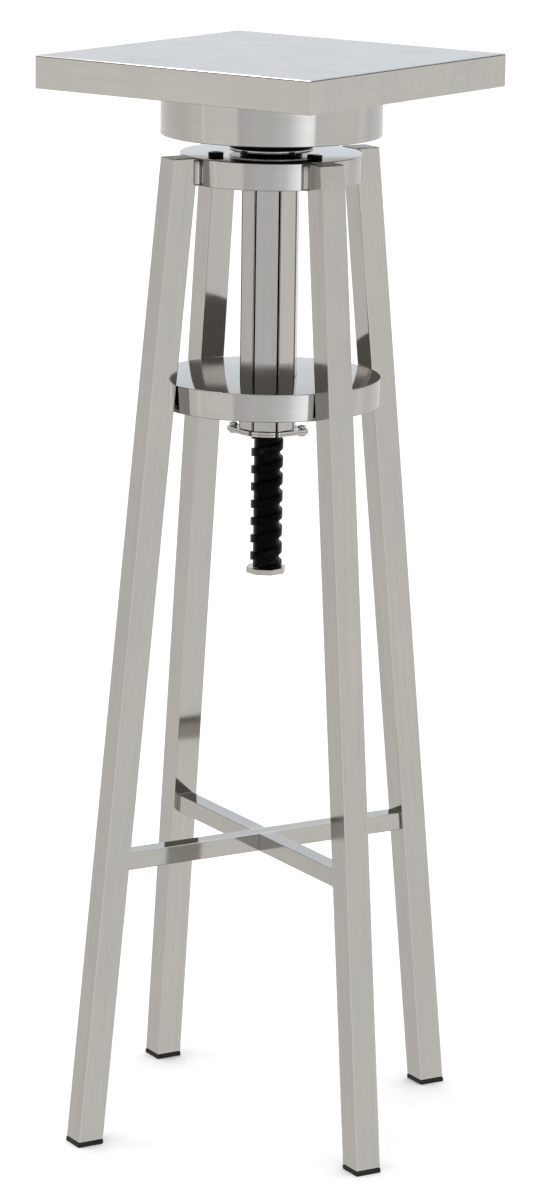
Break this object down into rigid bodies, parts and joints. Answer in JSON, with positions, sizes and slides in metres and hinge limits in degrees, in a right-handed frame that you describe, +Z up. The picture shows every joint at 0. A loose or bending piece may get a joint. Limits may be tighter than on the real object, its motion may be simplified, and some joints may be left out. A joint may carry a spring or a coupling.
{
  "type": "sculpting turntable",
  "caption": "Tall sculptor's stand of polished steel: square top spinning on a bearing in a round drum, raised by a square-thread screw between splayed legs.",
  "frame": {"origin": "on the floor, on the axis of the screw and bearing", "axes": "+Z up along the screw; the four legs stand on the diagonals of X and Y"},
  "size_m": [0.4738, 0.4738, 1.205],
  "materials": {
    "polished_steel": "polished stainless steel, fine hairlines",
    "satin_steel": "machined, satin",
    "black_steel": "black oxide, oiled",
    "black_rubber": "matt rubber",
    "board": "plywood, sealed"
  },
  "bodies": {
    "base": {"column": "polished_steel", "column_flange": "polished_steel", "cross_arm_bl": "polished_steel", "cross_arm_fr": "polished_steel", "cross_bar": "polished_steel", "flange_bolt_1": "satin_steel", "flange_bolt_2": "satin_steel", "flange_nut_1": "satin_steel", "flange_nut_2": "satin_steel", "foot_pad_bl": "black_rubber", "foot_pad_br": "black_rubber", "foot_pad_fl": "black_rubber", "foot_pad_fr": "black_rubber", "guide_bush": "black_steel", "leg_bl": "polished_steel", "leg_br": "polished_steel", "leg_cap_bl": "polished_steel", "leg_cap_br": "polished_steel", "leg_cap_fl": "polished_steel", "leg_cap_fr": "polished_steel", "leg_fl": "polished_steel", "leg_fr": "polished_steel", "lift_nut": "polished_steel", "lower_plate": "polished_steel", "lower_plate_cover": "satin_steel", "ring_screw_1": "black_steel", "ring_screw_2": "black_steel", "ring_screw_3": "black_steel", "upper_ring": "polished_steel", "upper_ring_cover": "satin_steel"},
    "riser": {"thrust_washer": "polished_steel"},
    "spindle": {"screw_spindle": "black_steel", "end_stop": "polished_steel", "stop_screw": "satin_steel", "hub": "black_steel", "drum_shell": "polished_steel", "turn_plate": "satin_steel", "spindle_nut": "satin_steel", "lower_race": "satin_steel", "king_nut": "satin_steel"},
    "bearing_cage": {"ball_cage": "satin_steel"},
    "platter": {"upper_race": "satin_steel", "platter_carrier": "satin_steel", "platter_core": "board", "platter_shell": "polished_steel", "carrier_screw_1": "satin_steel", "carrier_screw_2": "satin_steel", "carrier_screw_3": "satin_steel", "carrier_screw_4": "satin_steel"}
  },
  "joints": [
    {"name": "height_lift", "type": "slide", "parent": "base", "child": "riser", "axis": [0, 0, 1], "range_m": [0, 0.15]},
    {"name": "screw_turn", "type": "hinge", "parent": "riser", "child": "spindle", "pos_m": [0, 0, 1.1], "axis": [0, 0, 1], "range_deg": [0, 2770]},
    {"name": "platter_spin", "type": "hinge", "parent": "spindle", "child": "platter", "pos_m": [0, 0, 1.18], "axis": [0, 0, 1], "continuous": true},
    {"name": "cage_spin", "type": "hinge", "parent": "spindle", "child": "bearing_cage", "pos_m": [0, 0, 1.145], "axis": [0, 0, 1], "continuous": true}
  ],
  "couplings": [
    {"joint": "screw_turn", "follows": "height_lift", "rad_per_m": 322.21},
    {"joint": "cage_spin", "follows": "platter_spin", "ratio": 0.5}
  ]
}
